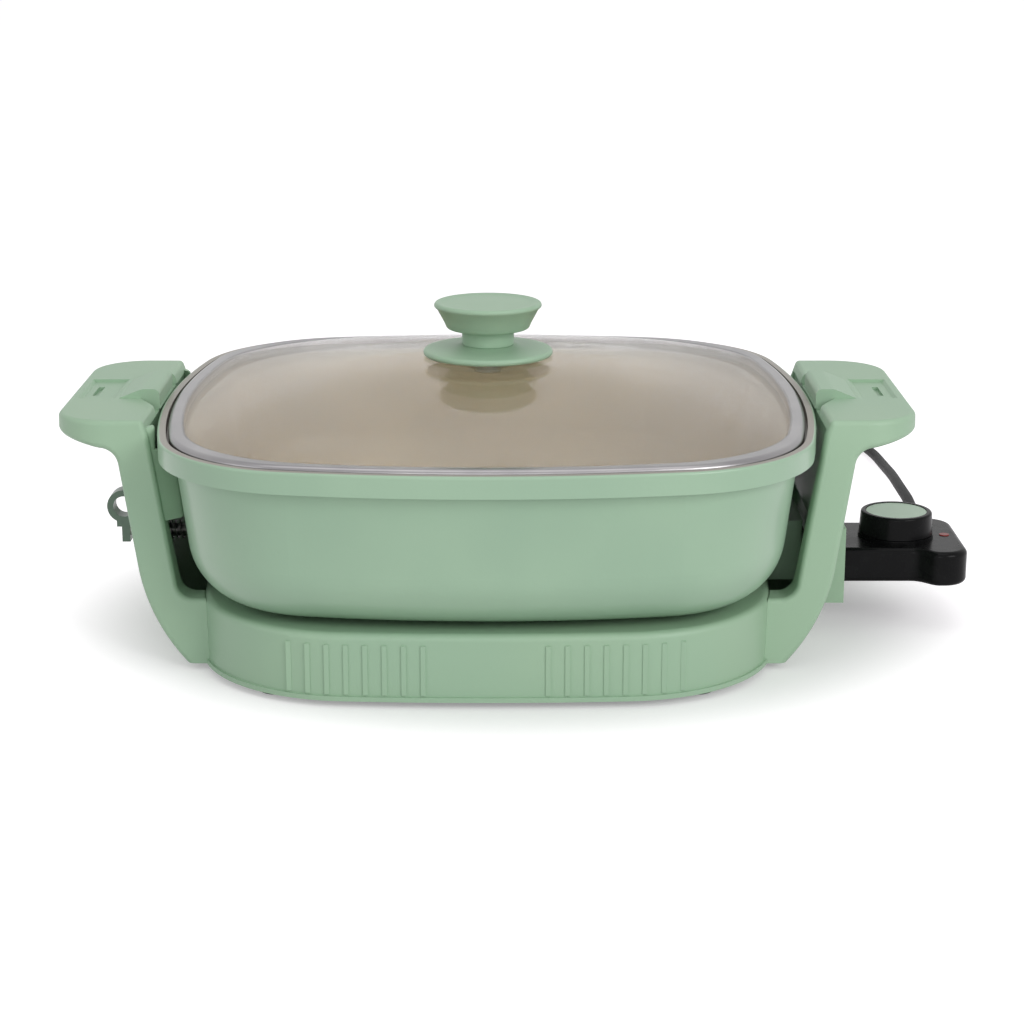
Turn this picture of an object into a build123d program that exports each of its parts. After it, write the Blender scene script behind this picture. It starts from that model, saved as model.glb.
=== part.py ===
"""Electric skillet: a square covered pan locked in a stand with two side handles.

The pan's casting holds the heating element, a plug-in thermostat brings the power, and a
ring-pull bolt on the other side locks the pan in its stand.  Millimetres, +Z up, table at
Z = 0.  Every sketch is drawn about the pan's centre line, which stands at X = PAN_X, so
that the middle of the whole object's footprint falls on the origin.
"""

import os
from math import atan2, cos, pi, radians, sin, sqrt, tan

from build123d import *

os.makedirs("parts", exist_ok=True)

# ---------------------------------------------------------------- driving dimensions
HANDLE_REACH = 203.0  # pan centre to the tip of either handle
PROBE_REACH = 236.0  # pan centre to the outer end of the thermostat
PAN_X = (HANDLE_REACH - PROBE_REACH) / 2

RIM_Z = 113.0  # top of the pan's rim above the table
RIM_HALF = 158.0  # half the width of the pan over its rim
RIM_BOW = 500.0  # radius of the four bowed sides
RIM_CORNER = 76.0  # radius of the four corners
RIM_BAND = 10.0  # height of the band round the rim
BODY_STEP = 7.5  # the wall stands back this far under the band
PAN_BOTTOM = 35.6
PAN_DRAFT = 7.0  # degrees
PAN_HEEL = 31.0  # outer radius between wall and bottom
WALL = 4.2
LEDGE_DEPTH = 4.5  # step in the rim that the lid sits on
LEDGE_HALF = 154.0

STAND_HALF = 136.4
STAND_BOW = 977.0
STAND_CORNER = 74.0
STAND_FOOT = 3.0  # bottom edge of the stand's band
STAND_TOP = 34.4
SHELL = 2.6

LIMB_HALF_LOW = 84.0  # half the front-to-back width of an upright, at its foot
LIMB_HALF_HIGH = 70.0  # and at the handle
HANDLE_TOP = 117.0
SADDLE_RISE = 4.5
SADDLE_HALF = 22.0
SADDLE_X = 158.8
PLATE_X = 160.0  # inner edge of the handle's plate, beside the saddle

SOCKET_Z = 33.4  # height of the element's pins and the sensor rod
PIN_Y = 12.0
PIN_R = 2.6
ROD_R = 3.0
RUNNING = 0.05  # radial clearance of a running fit

BOLT_Z = 45.0
BOLT_R = 3.0

PROBE_LOW = 24.8
PROBE_TOP = 42.0
PROBE_HALF = 25.0
DIAL_X = 204.0
DIAL_R = 18.3

CORD_R = 3.0


# ---------------------------------------------------------------- planes and outlines
def level(z):
    """Horizontal plane at height z, about the pan's centre line."""
    return Plane(origin=(PAN_X, 0, z))


def facing(y):
    """Upright plane at depth y, seen from the front: x to the right, y up."""
    return Plane(origin=(PAN_X, y, 0), x_dir=(1, 0, 0), z_dir=(0, -1, 0))


def across(x):
    """Upright plane square to X: x to the back, y up, outward normal +X."""
    return Plane(origin=(PAN_X + x, 0, 0), x_dir=(0, 1, 0), z_dir=(1, 0, 0))


class BowedSquare(BaseSketchObject):
    """A square with slightly bowed sides that run tangent into round corners."""

    def __init__(self, half, bow, corner, mode=Mode.ADD):
        centre = half - bow
        reach = bow - corner
        k = (centre + sqrt(2 * reach**2 - centre**2)) / 2
        lean = atan2(k, k - centre)
        touch = (centre + bow * cos(lean), bow * sin(lean))
        elbow = k + corner * cos(pi / 4)
        with BuildSketch() as outline:
            with BuildLine():
                for quarter in range(4):
                    side = [(touch[0], -touch[1]), (half, 0), touch]
                    bend = [touch, (elbow, elbow), (touch[1], touch[0])]
                    for arc in (side, bend):
                        ThreePointArc(*[Vector(*p).rotate(Axis.Z, 90 * quarter) for p in arc])
            make_face()
        super().__init__(obj=outline.sketch, rotation=0, align=None, mode=mode)


def pan_outline(inset, mode=Mode.ADD):
    """The pan's plan, this far inside the outer edge of the rim."""
    return BowedSquare(RIM_HALF - inset, RIM_BOW - inset, RIM_CORNER - inset, mode=mode)


def stand_outline(inset, mode=Mode.ADD):
    return BowedSquare(STAND_HALF - inset, STAND_BOW - inset, STAND_CORNER - inset, mode=mode)


def columns(spots, radius, low, height, mode=Mode.ADD):
    """Upright round columns, or holes, at these places."""
    with BuildSketch(level(low)) as discs:
        with spots:
            Circle(radius)
    extrude(discs.sketch, amount=height, mode=mode)


def pins(spots, radius, start, reach, mode=Mode.ADD):
    """Round pins, or holes, along X at these (y, z) places."""
    with BuildSketch(across(start)) as discs:
        with spots:
            Circle(radius)
    extrude(discs.sketch, amount=reach, mode=mode)


def save(builder, name):
    builder.part.label = name
    export_step(builder.part, f"parts/{name}.step")


# ================================================================ the pan
ELEMENT_R = 3.3
FOOT_INSET = BODY_STEP + tan(radians(PAN_DRAFT)) * (RIM_Z - RIM_BAND - PAN_BOTTOM)
ELEMENT_LOOP = 85.0
ELEMENT_BEND = 14.0
RIB_WIDTH = 15.0
RIB_LOW = 28.6
BOSS_FACE = 150.5  # the socket boss stands flush with the pan's wall
BOSS_HALF = 24.0
BOSS_LOW = 26.0
BOSS_TOP = 56.0
KEEPER_FACE = 143.0
PIN_ROOT = 121.0
PIN_TIP = 147.0
ROD_TIP = 78.0
GUARD_HALF = (20.0, 7.6)

# Sheathed element: one loop of tube with its two cold ends side by side at the socket.
with BuildPart() as heating_element:
    with BuildLine(level(SOCKET_Z)):
        FilletPolyline(
            (PIN_ROOT, PIN_Y),
            (ELEMENT_LOOP, PIN_Y),
            (ELEMENT_LOOP, ELEMENT_LOOP),
            (-ELEMENT_LOOP, ELEMENT_LOOP),
            (-ELEMENT_LOOP, -ELEMENT_LOOP),
            (ELEMENT_LOOP, -ELEMENT_LOOP),
            (ELEMENT_LOOP, -PIN_Y),
            (PIN_ROOT, -PIN_Y),
            radius=ELEMENT_BEND,
        )
    with BuildSketch(across(PIN_ROOT)):
        with Locations((PIN_Y, SOCKET_Z)):
            Circle(ELEMENT_R)
    sweep()

with BuildPart() as pan_hollow:
    with BuildSketch(level(PAN_BOTTOM + WALL)):
        pan_outline(FOOT_INSET + WALL - 0.5)
    extrude(amount=RIM_Z - PAN_BOTTOM, taper=-PAN_DRAFT)
    fillet(pan_hollow.faces().sort_by(Axis.Z)[0].edges(), PAN_HEEL - WALL)

with BuildPart() as pan:
    with BuildSketch(level(PAN_BOTTOM)):
        pan_outline(FOOT_INSET)
    extrude(amount=RIM_Z - RIM_BAND - PAN_BOTTOM, taper=-PAN_DRAFT)
    fillet(pan.faces().sort_by(Axis.Z)[0].edges(), PAN_HEEL)
    # The raised rib on the underside that the element is cast into.
    with BuildSketch(level(RIB_LOW)):
        for inset, mode in ((-RIB_WIDTH / 2, Mode.ADD), (RIB_WIDTH / 2, Mode.SUBTRACT)):
            side = 2 * (ELEMENT_LOOP - inset)
            RectangleRounded(side, side, ELEMENT_BEND - inset, mode=mode)
    extrude(amount=PAN_BOTTOM - RIB_LOW + 0.5)
    # Socket boss and the sensor's well, both along the pan's centre line.
    with BuildSketch(across(PIN_ROOT - 36)):
        with Locations((0, (BOSS_LOW + PAN_BOTTOM + 1) / 2)):
            Rectangle(2 * BOSS_HALF, PAN_BOTTOM + 1 - BOSS_LOW)
    extrude(amount=36)
    with BuildSketch(level(BOSS_LOW)):
        with Locations(((PIN_ROOT + BOSS_FACE) / 2, 0)):
            RectangleRounded(BOSS_FACE - PIN_ROOT + 8, 2 * BOSS_HALF, 3)
    extrude(amount=BOSS_TOP - BOSS_LOW)
    pins(Locations((0, SOCKET_Z)), 6.5, ROD_TIP - 8, PIN_ROOT - ROD_TIP)
    # Keeper lug for the locking bolt, on the side away from the socket.
    with BuildSketch(level(BOLT_Z - 9)):
        with Locations((-KEEPER_FACE + 15, 0)):
            RectangleRounded(30, 28, 4)
    extrude(amount=18)
    # Rim band over the wall, then the hollow and the lid's ledge.
    with BuildSketch(level(RIM_Z - RIM_BAND)):
        pan_outline(0)
    extrude(amount=RIM_BAND)
    fillet(pan.faces().filter_by(Axis.Z).group_by(Axis.Z)[-1].edges(), 1.2)
    add(pan_hollow.part, mode=Mode.SUBTRACT)
    with BuildSketch(level(RIM_Z - LEDGE_DEPTH)):
        pan_outline(RIM_HALF - LEDGE_HALF)
    extrude(amount=2 * LEDGE_DEPTH, mode=Mode.SUBTRACT)
    # Socket mouth, sensor well, bolt hole, and the cast-in element's own space.
    with BuildSketch(across(PIN_ROOT + 9)):
        with Locations((0, SOCKET_Z)):
            RectangleRounded(2 * GUARD_HALF[0], 2 * GUARD_HALF[1], 4)
    extrude(amount=40, mode=Mode.SUBTRACT)
    pins(Locations((0, SOCKET_Z)), ROD_R + RUNNING, ROD_TIP - 2, 80, Mode.SUBTRACT)
    pins(Locations((-PIN_Y, SOCKET_Z), (PIN_Y, SOCKET_Z)), PIN_R, PIN_ROOT, 40, Mode.SUBTRACT)
    pins(Locations((0, BOLT_Z)), BOLT_R + 0.3, -KEEPER_FACE - 1, 8, Mode.SUBTRACT)
    add(heating_element.part, mode=Mode.SUBTRACT)

with BuildPart() as terminal_pins:
    pins(Locations((-PIN_Y, SOCKET_Z), (PIN_Y, SOCKET_Z)), PIN_R, PIN_ROOT, PIN_TIP - PIN_ROOT)
    chamfer(terminal_pins.faces().group_by(Axis.X)[-1].edges(), 0.8)

# Pressed steel sleeve in the socket mouth that guides the thermostat on to the pins.
with BuildPart() as socket_guard:
    with BuildSketch(across(PIN_ROOT + 9)):
        with Locations((0, SOCKET_Z)):
            RectangleRounded(2 * GUARD_HALF[0], 2 * GUARD_HALF[1], 4)
            RectangleRounded(2 * GUARD_HALF[0] - 2, 2 * GUARD_HALF[1] - 2, 3, mode=Mode.SUBTRACT)
    extrude(amount=BOSS_FACE + 5 - PIN_ROOT - 9)

save(pan, "pan")
save(heating_element, "heating_element")
save(terminal_pins, "terminal_pins")
save(socket_guard, "socket_guard")

# ================================================================ the stand
DECK_WIDTH = 25.0
DECK_DROP = 1.4
BEAD_PITCH = 8.7
BEAD_WIDTH = 2.2
BEAD_PROUD = 0.6
BEAD_SPAN = (24.0, 92.0)  # from the plain middle panel out towards the corner
CORNER_START = 60.4  # centre of the corner arcs
TRAY_TOP = 7.4
TRAY_THICK = 2.6
POST_AT = 42.0
SHIELD_Z = 20.0
FOOT_X = 96.0
FOOT_Y = 110.0
LUG_RADIUS = 124.7  # the four screw lugs stand on this circle
LUG_TURN = -15.8  # degrees
SCREW_Z = 18.0
SCREW_Y = 52.0
SCREW_R = 1.6
SCREW_SAG = STAND_BOW - sqrt(STAND_BOW**2 - SCREW_Y**2)  # the band's bow at the screws
NOTCH_HALF = 27.0
NOTCH_LOW = 22.5

with BuildPart() as deck_slope:
    with BuildSketch(level(STAND_TOP)):
        stand_outline(4)
    with BuildSketch(level(STAND_TOP - DECK_DROP)):
        stand_outline(DECK_WIDTH)
    loft(ruled=True)

with BuildPart() as stand_band:
    with BuildSketch(level(STAND_FOOT)):
        stand_outline(0)
    extrude(amount=STAND_TOP - STAND_FOOT)
    fillet(stand_band.faces().sort_by(Axis.Z)[-1].edges(), 3)
    add(deck_slope.part, mode=Mode.SUBTRACT)
    # Lip along the bottom edge.
    with BuildSketch(level(STAND_FOOT)):
        stand_outline(-1.2)
    extrude(amount=2.2)
    # Upright beads on both faces, either side of the plain middle panel.
    with BuildSketch(level(STAND_FOOT + 3)):
        beads = int((BEAD_SPAN[1] - BEAD_SPAN[0]) / BEAD_PITCH)
        for side in (-1, 1):
            for face in (-1, 1):
                for n in range(beads + 1):
                    x = BEAD_SPAN[0] + 4 + n * BEAD_PITCH
                    sag = STAND_BOW - sqrt(STAND_BOW**2 - x**2)
                    if x > CORNER_START:
                        past = x - CORNER_START
                        sag = STAND_HALF - CORNER_START - sqrt(STAND_CORNER**2 - past**2)
                    with Locations((side * x, face * (STAND_HALF - sag - 1.5 + BEAD_PROUD))):
                        Rectangle(BEAD_WIDTH, 3)
    extrude(amount=STAND_TOP - STAND_FOOT - 8)
    # Hollow inside, open below.
    with BuildSketch(level(STAND_FOOT)):
        stand_outline(SHELL)
    extrude(amount=STAND_TOP - DECK_DROP - SHELL - STAND_FOOT, mode=Mode.SUBTRACT)
    with BuildSketch(level(STAND_FOOT)):
        stand_outline(DECK_WIDTH + SHELL)
    extrude(amount=STAND_TOP, mode=Mode.SUBTRACT)
    # Lugs for the tray's screws, and holes for the screws that hold the uprights.
    boss_height = STAND_TOP - DECK_DROP - SHELL + 0.2 - TRAY_TOP
    columns(PolarLocations(LUG_RADIUS, 4, start_angle=LUG_TURN), 5, TRAY_TOP, boss_height)
    columns(PolarLocations(LUG_RADIUS, 4, start_angle=LUG_TURN), 1.6, TRAY_TOP, 12, Mode.SUBTRACT)
    for side in (-1, 1):
        holes = Locations((-SCREW_Y, SCREW_Z), (SCREW_Y, SCREW_Z))
        pins(holes, SCREW_R, side * STAND_HALF - 6, 12, Mode.SUBTRACT)
    # Notch that clears the pan's socket boss and the thermostat.
    with BuildSketch(across(STAND_HALF - 30)):
        with Locations((0, NOTCH_LOW + 10)):
            Rectangle(2 * NOTCH_HALF, 20)
    extrude(amount=40, mode=Mode.SUBTRACT)

# Bottom tray with four posts that carry the pan.
with BuildPart() as base_tray:
    with BuildSketch(level(TRAY_TOP - TRAY_THICK)):
        stand_outline(SHELL + 0.4)
        with GridLocations(2 * FOOT_X, 2 * FOOT_Y, 2, 2):
            Circle(5, mode=Mode.SUBTRACT)
        with PolarLocations(LUG_RADIUS, 4, start_angle=LUG_TURN):
            Circle(2.2, mode=Mode.SUBTRACT)
        with GridLocations(22, 0, 5, 1):
            SlotOverall(60, 8, rotation=90, mode=Mode.SUBTRACT)
    extrude(amount=TRAY_THICK)
    columns(GridLocations(2 * POST_AT, 2 * POST_AT, 2, 2), 8, TRAY_TOP, PAN_BOTTOM - 3 - TRAY_TOP)
    low = TRAY_TOP - TRAY_THICK
    posts = GridLocations(2 * POST_AT, 2 * POST_AT, 2, 2)
    columns(posts, 5.5, low, PAN_BOTTOM - 6 - low, Mode.SUBTRACT)
    columns(GridLocations(2 * POST_AT, 2 * POST_AT, 2, 2), 2.5, PAN_BOTTOM - 6, 6, Mode.SUBTRACT)

with BuildPart() as pan_rests:
    columns(GridLocations(2 * POST_AT, 2 * POST_AT, 2, 2), 7, PAN_BOTTOM - 3, 3)
    columns(GridLocations(2 * POST_AT, 2 * POST_AT, 2, 2), 2.5, PAN_BOTTOM - 6, 3)

# Bright metal shield that turns the pan's heat back from the tray.
with BuildPart() as heat_shield:
    with BuildSketch(level(SHIELD_Z)):
        RectangleRounded(176, 176, 40)
        with GridLocations(2 * POST_AT, 2 * POST_AT, 2, 2):
            Circle(9, mode=Mode.SUBTRACT)
    extrude(amount=0.8)
    with BuildSketch(level(TRAY_TOP)):
        with Locations((0, 78), (0, -78)):
            Rectangle(20, 12)
            Rectangle(18.4, 12, mode=Mode.SUBTRACT)
    extrude(amount=SHIELD_Z - TRAY_TOP)

with BuildPart() as rubber_feet:
    columns(GridLocations(2 * FOOT_X, 2 * FOOT_Y, 2, 2), 9, 0, TRAY_TOP - TRAY_THICK)
    columns(GridLocations(2 * FOOT_X, 2 * FOOT_Y, 2, 2), 5, TRAY_TOP - TRAY_THICK, TRAY_THICK)
    columns(GridLocations(2 * FOOT_X, 2 * FOOT_Y, 2, 2), 6.5, TRAY_TOP, 1.6)
    chamfer(rubber_feet.faces().group_by(Axis.Z)[0].edges(), 0.5)

with BuildPart() as tray_screws:
    columns(PolarLocations(LUG_RADIUS, 4, start_angle=LUG_TURN), 3.6, TRAY_TOP - TRAY_THICK - 1.6, 1.6)
    lugs = PolarLocations(LUG_RADIUS, 4, start_angle=LUG_TURN)
    columns(lugs, 1.6, TRAY_TOP - TRAY_THICK, TRAY_THICK + 9)

save(stand_band, "stand_band")
save(base_tray, "base_tray")
save(pan_rests, "pan_rests")
save(heat_shield, "heat_shield")
save(rubber_feet, "rubber_feet")
save(tray_screws, "tray_screws")

# ================================================================ the uprights and handles
WALL_LIMB = 3.2
FLANGE = 4.5
SHELF = 5.0
GRIP_CORNER = 26.0
GRIP_EDGE = 2.4
RECESS_HALF = 21.5
SHROUD_X = 175.0
SHROUD_HALF = 29.0
SHROUD_LOW = 15.5
SHROUD_TOP = 53.5
PROBE_GAP = 0.6
BUSH_R = 6.0
UNDER_GRIP = (173.0, 103.2)
KNEE = (163.2, 46.0)
CALF = (156.6, 26.0)
HEEL = (141.0, STAND_FOOT)
FLANGE_TOE = (144.5, 33.5)

# Everything the stand's band fills, so that an upright closes on to it.
with BuildPart() as stand_envelope:
    with BuildSketch(level(0)):
        stand_outline(-1.2)
    extrude(amount=STAND_FOOT + 2.2)
    with BuildSketch(level(0)):
        stand_outline(0)
    extrude(amount=STAND_TOP + 0.5)


def upright(side):
    """One upright with its handle, on the right (side 1) or the left (side -1)."""

    def at(point, inset=0.0):
        return (side * (point[0] - inset), point[1])

    def grip_reach(edge):
        return side * (edge.center().X - PAN_X)

    low, width = (100, 120) if side > 0 else (-220, 120)
    with BuildPart() as limb:
        # Side profile: a flat grip, an upright that leans out, and a foot that curls under.
        with BuildSketch(facing(0)) as profile:
            with BuildLine():
                Polyline(
                    at((PLATE_X, HANDLE_TOP)),
                    at((HANDLE_REACH, HANDLE_TOP)),
                    at((HANDLE_REACH, 108.5)),
                    at((181, 104)),
                    at(UNDER_GRIP),
                    at(KNEE),
                )
                ThreePointArc(at(KNEE), at(CALF), at(HEEL))
                Polyline(
                    at(HEEL),
                    at((125, STAND_FOOT)),
                    at((125, 33.5)),
                    at(FLANGE_TOE),
                    at((157.5, 109)),
                    at((PLATE_X, HANDLE_TOP)),
                )
            make_face()
            for corner, radius in (((181, 104), 12), (UNDER_GRIP, 9), (FLANGE_TOE, 8)):
                spot = Vector(*at(corner), 0)
                fillet(profile.vertices().sort_by_distance(spot)[0], radius)
        extrude(amount=LIMB_HALF_LOW, both=True)
        # The front and back faces lean in towards the grip.
        with BuildSketch(across(low)):
            with BuildLine():
                Polyline(
                    (-LIMB_HALF_LOW, 0),
                    (LIMB_HALF_LOW, 0),
                    (LIMB_HALF_HIGH, HANDLE_TOP),
                    (-LIMB_HALF_HIGH, HANDLE_TOP),
                    close=True,
                )
            make_face()
        extrude(amount=width, mode=Mode.INTERSECT)
        # Two generous outer corners, then soft edges round the plate and down both flanges.
        tips = [e for e in limb.edges() if grip_reach(e) > HANDLE_REACH - 1]
        fillet([e for e in tips if abs(e.center().Y) > 60], GRIP_CORNER)
        ends = [f for f in limb.faces() if abs(f.normal_at().Y) > 0.95]
        soft = limb.faces().sort_by(Axis.Z)[-1].edges() + [e for f in ends for e in f.edges()]
        fillet(set(e for e in soft if grip_reach(e) > 150), GRIP_EDGE)
        # Channel open to the pan, between the flanges and under the shelf.
        with BuildSketch(facing(0)):
            with BuildLine():
                Polyline(
                    at((90, 0)),
                    at((90, HANDLE_TOP - SHELF)),
                    at((170, HANDLE_TOP - SHELF)),
                    at(KNEE, WALL_LIMB),
                )
                ThreePointArc(at(KNEE, WALL_LIMB), at(CALF, WALL_LIMB), at(HEEL, WALL_LIMB))
                Polyline(at(HEEL, WALL_LIMB), at((HEEL[0] - WALL_LIMB, 0)), at((90, 0)))
            make_face()
        extrude(amount=LIMB_HALF_HIGH - FLANGE, both=True, mode=Mode.SUBTRACT)
        add(stand_envelope.part, mode=Mode.SUBTRACT)
        # Screen between the flanges that hides the channel's upper half.
        with BuildSketch(facing(0)):
            with BuildLine():
                Polyline(
                    at((159.3, HANDLE_TOP - SHELF)),
                    at((161.8, HANDLE_TOP - SHELF)),
                    at((158.5, 62)),
                    at((156, 62)),
                    close=True,
                )
            make_face()
        extrude(amount=LIMB_HALF_HIGH - FLANGE, both=True)
        # Raised saddle next to the pan, with a ramp down to the thumb recess.
        with BuildSketch(facing(0)) as saddle:
            with BuildLine():
                Polyline(
                    at((SADDLE_X, HANDLE_TOP - SHELF)),
                    at((SADDLE_X, HANDLE_TOP + SADDLE_RISE)),
                    at((167.5, HANDLE_TOP + SADDLE_RISE)),
                    at((178.5, HANDLE_TOP)),
                    at((178.5, HANDLE_TOP - 2)),
                    at((170, HANDLE_TOP - SHELF)),
                    close=True,
                )
            make_face()
            for x, radius in ((SADDLE_X, 3), (167.5, 6)):
                spot = Vector(*at((x, HANDLE_TOP + SADDLE_RISE)), 0)
                fillet(saddle.vertices().sort_by_distance(spot)[0], radius)
        extrude(amount=SADDLE_HALF, both=True)
        with BuildSketch(facing(0)):
            with BuildLine():
                Polyline(
                    at((180, HANDLE_TOP + 1)),
                    at((180, HANDLE_TOP)),
                    at((182.5, HANDLE_TOP - 1.4)),
                    at((197, HANDLE_TOP - 1.4)),
                    at((198.5, HANDLE_TOP)),
                    at((198.5, HANDLE_TOP + 1)),
                    close=True,
                )
            make_face()
        extrude(amount=RECESS_HALF, both=True, mode=Mode.SUBTRACT)
        # A vee on either side of the saddle, and the slot across the thumb recess.
        with BuildSketch(level(HANDLE_TOP - SHELF - 1)):
            for end in (-1, 1):
                with BuildLine():
                    Polyline(
                        (side * (PLATE_X - 8), end * SADDLE_HALF),
                        (side * 168, end * SADDLE_HALF),
                        (side * (PLATE_X + 1), end * (SADDLE_HALF + 13)),
                        (side * (PLATE_X - 8), end * (SADDLE_HALF + 16)),
                        close=True,
                    )
                make_face()
        extrude(amount=SHELF + 2, mode=Mode.SUBTRACT)
        with BuildSketch(level(HANDLE_TOP - 3)):
            with Locations((side * 192, 0)):
                Rectangle(3, 20)
        extrude(amount=3, mode=Mode.SUBTRACT)
        # Bosses for the two screws from inside the stand's band.
        root = side * (STAND_HALF - SCREW_SAG + 0.3)
        pins(Locations((-SCREW_Y, SCREW_Z), (SCREW_Y, SCREW_Z)), 4.5, root, 12 * side)
        holes = Locations((-SCREW_Y, SCREW_Z), (SCREW_Y, SCREW_Z))
        pins(holes, SCREW_R, root - side, 11 * side, Mode.SUBTRACT)
    return limb


with BuildPart() as right_upright:
    add(upright(1).part)
    # Shroud round the thermostat, then the window it slides through.
    with BuildSketch(across(160)):
        with Locations((0, (SHROUD_LOW + SHROUD_TOP) / 2)):
            Rectangle(2 * SHROUD_HALF, SHROUD_TOP - SHROUD_LOW)
    extrude(amount=SHROUD_X - 160)
    with BuildSketch(across(140)):
        with Locations((0, (PROBE_LOW + PROBE_TOP) / 2)):
            RectangleRounded(2 * (PROBE_HALF + PROBE_GAP), PROBE_TOP - PROBE_LOW + 2 * PROBE_GAP, 3)
    extrude(amount=40, mode=Mode.SUBTRACT)

with BuildPart() as left_upright:
    add(upright(-1).part)
    # Thickening round the bolt's bush.
    pins(Locations((0, BOLT_Z)), BUSH_R + 3, -167, 8)
    pins(Locations((0, BOLT_Z)), BUSH_R, -172, 20, Mode.SUBTRACT)

with BuildPart() as upright_screws:
    for side in (-1, 1):
        inner = side * (STAND_HALF - SHELL - SCREW_SAG - 0.3)
        pins(Locations((-SCREW_Y, SCREW_Z), (SCREW_Y, SCREW_Z)), 4, inner, -2.2 * side)
        pins(Locations((-SCREW_Y, SCREW_Z), (SCREW_Y, SCREW_Z)), SCREW_R, inner, 11 * side)

save(right_upright, "right_upright")
save(left_upright, "left_upright")
save(upright_screws, "upright_screws")

# ================================================================ the locking bolt
PULL_X = -181.0
PULL_PLATE = (179.0, 183.0)
RING_Z = 57.9
RING_R = 8.3
RING_HOLE = 5.2
COLLAR_X = -148.0
BUSH_SPAN = (160.0, 167.5)
SPRING_R = 4.6
SPRING_WIRE = 0.45

with BuildPart() as bolt_bush:
    with BuildSketch(across(-BUSH_SPAN[1])):
        with Locations((0, BOLT_Z)):
            Circle(BUSH_R)
            Circle(BOLT_R + RUNNING, mode=Mode.SUBTRACT)
    extrude(amount=BUSH_SPAN[1] - BUSH_SPAN[0])
    with BuildSketch(across(-BUSH_SPAN[1] - 1.2)):
        with Locations((0, BOLT_Z)):
            Circle(BUSH_R + 1.8)
            Circle(BOLT_R + RUNNING, mode=Mode.SUBTRACT)
    extrude(amount=1.2)

with BuildPart() as locking_bolt:
    pins(Locations((0, BOLT_Z)), BOLT_R, -PULL_PLATE[1] + 1, PULL_PLATE[1] - 1 - 137)
    chamfer(locking_bolt.faces().sort_by(Axis.X)[-1].edges(), 1)
    pins(Locations((0, BOLT_Z)), BOLT_R + 2.4, COLLAR_X, 1.6)

# Finger ring on its carrier plate, moulded round the bolt's outer end.
with BuildPart() as pull_ring:
    with BuildSketch(facing(0)):
        with Locations((PULL_X - 0.6, RING_Z)):
            Circle(RING_R)
        with Locations((PULL_X, 45)):
            Rectangle(PULL_PLATE[1] - PULL_PLATE[0], 10.6)
        with Locations((PULL_X - 0.4, 49.2)):
            Rectangle(8, 3.4)
        with Locations((PULL_X - 0.6, RING_Z)):
            Circle(RING_HOLE, mode=Mode.SUBTRACT)
    extrude(amount=4.5, both=True)
    pins(Locations((0, BOLT_Z)), BOLT_R, -PULL_PLATE[1] + 1, 10, Mode.SUBTRACT)

# Compression spring between the bush and the bolt's collar.
SPRING_FREE = BUSH_SPAN[0] + COLLAR_X - 0.4
with BuildPart() as bolt_spring:
    with BuildLine() as coil:
        Helix(
            pitch=(SPRING_FREE - 2 * SPRING_WIRE) / 4,
            height=SPRING_FREE - 2 * SPRING_WIRE,
            radius=SPRING_R - SPRING_WIRE,
            center=(PAN_X - BUSH_SPAN[0] + 0.2 + SPRING_WIRE, 0, BOLT_Z),
            direction=(1, 0, 0),
        )
    with BuildSketch(Plane(origin=coil.line @ 0, z_dir=coil.line % 0)):
        Circle(SPRING_WIRE)
    sweep(path=coil.line, is_frenet=True)

save(bolt_bush, "bolt_bush")
save(locking_bolt, "locking_bolt")
save(pull_ring, "pull_ring")
save(bolt_spring, "bolt_spring")

# ================================================================ the lid
LID_OUT = 152.8  # half the width of the lid's steel rim
LID_EDGE = 7.0  # width of the steel seen from above
LID_SEAT = RIM_Z - LEDGE_DEPTH
LID_RIM_TOP = RIM_Z + 1.5
GLASS = 4.0
GLASS_EDGE_Z = LID_SEAT + 1.2
DOME = ((3.5, 0.0), (14.0, 3.0), (40.0, 8.6), (75.0, 14.8), (118.0, 20.6))
KNOB_FLANGE_Z = GLASS_EDGE_Z + DOME[-1][1] + GLASS
FLANGE_EDGE = 3.0
FLANGE_RISE = 5.2
FLANGE_R = 31.7
NECK_R = 12.7
KNOB_LOW_R = 20.0
KNOB_TOP_R = 27.4  # before its edge is rounded
KNOB_LOW_Z = RIM_Z + 35.4
KNOB_TOP_Z = RIM_Z + 47.8
STUD_R = 3.0
STUD_UP = 14.0


def lid_outline(inset, mode=Mode.ADD):
    """Outline inside the lid's outer edge; the further in, the rounder it gets."""
    half = LID_OUT - inset
    square = (half / LID_OUT) ** 2
    return BowedSquare(half, half * (1.03 + 2.2 * square), half * (0.98 - 0.515 * square), mode=mode)


def dome(drop):
    """Closed dome whose skin lies this far inside the glass's outer face."""
    with BuildPart() as solid:
        for inset, rise in DOME:
            with BuildSketch(level(GLASS_EDGE_Z + GLASS + rise - drop)):
                lid_outline(inset + drop * 0.35 * (1 if rise > 0 else 0))
        loft()
    return solid.part


with BuildPart() as lid_glass:
    add(dome(0))
    add(dome(GLASS), mode=Mode.SUBTRACT)
    with BuildSketch(level(GLASS_EDGE_Z)):
        lid_outline(DOME[0][0])
        lid_outline(16, mode=Mode.SUBTRACT)
    extrude(amount=GLASS)
    with BuildSketch(level(GLASS_EDGE_Z)):
        Circle(STUD_R + 1)
    extrude(amount=60, mode=Mode.SUBTRACT)

# Rolled steel rim, folded over the glass's edge above and below.
with BuildPart() as lid_rim:
    with BuildSketch(level(LID_SEAT)):
        lid_outline(0)
        lid_outline(LID_EDGE, mode=Mode.SUBTRACT)
    extrude(amount=LID_RIM_TOP - LID_SEAT)
    fillet(lid_rim.faces().sort_by(Axis.Z)[-1].edges(), 2)
    add(lid_glass.part, mode=Mode.SUBTRACT)

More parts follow.
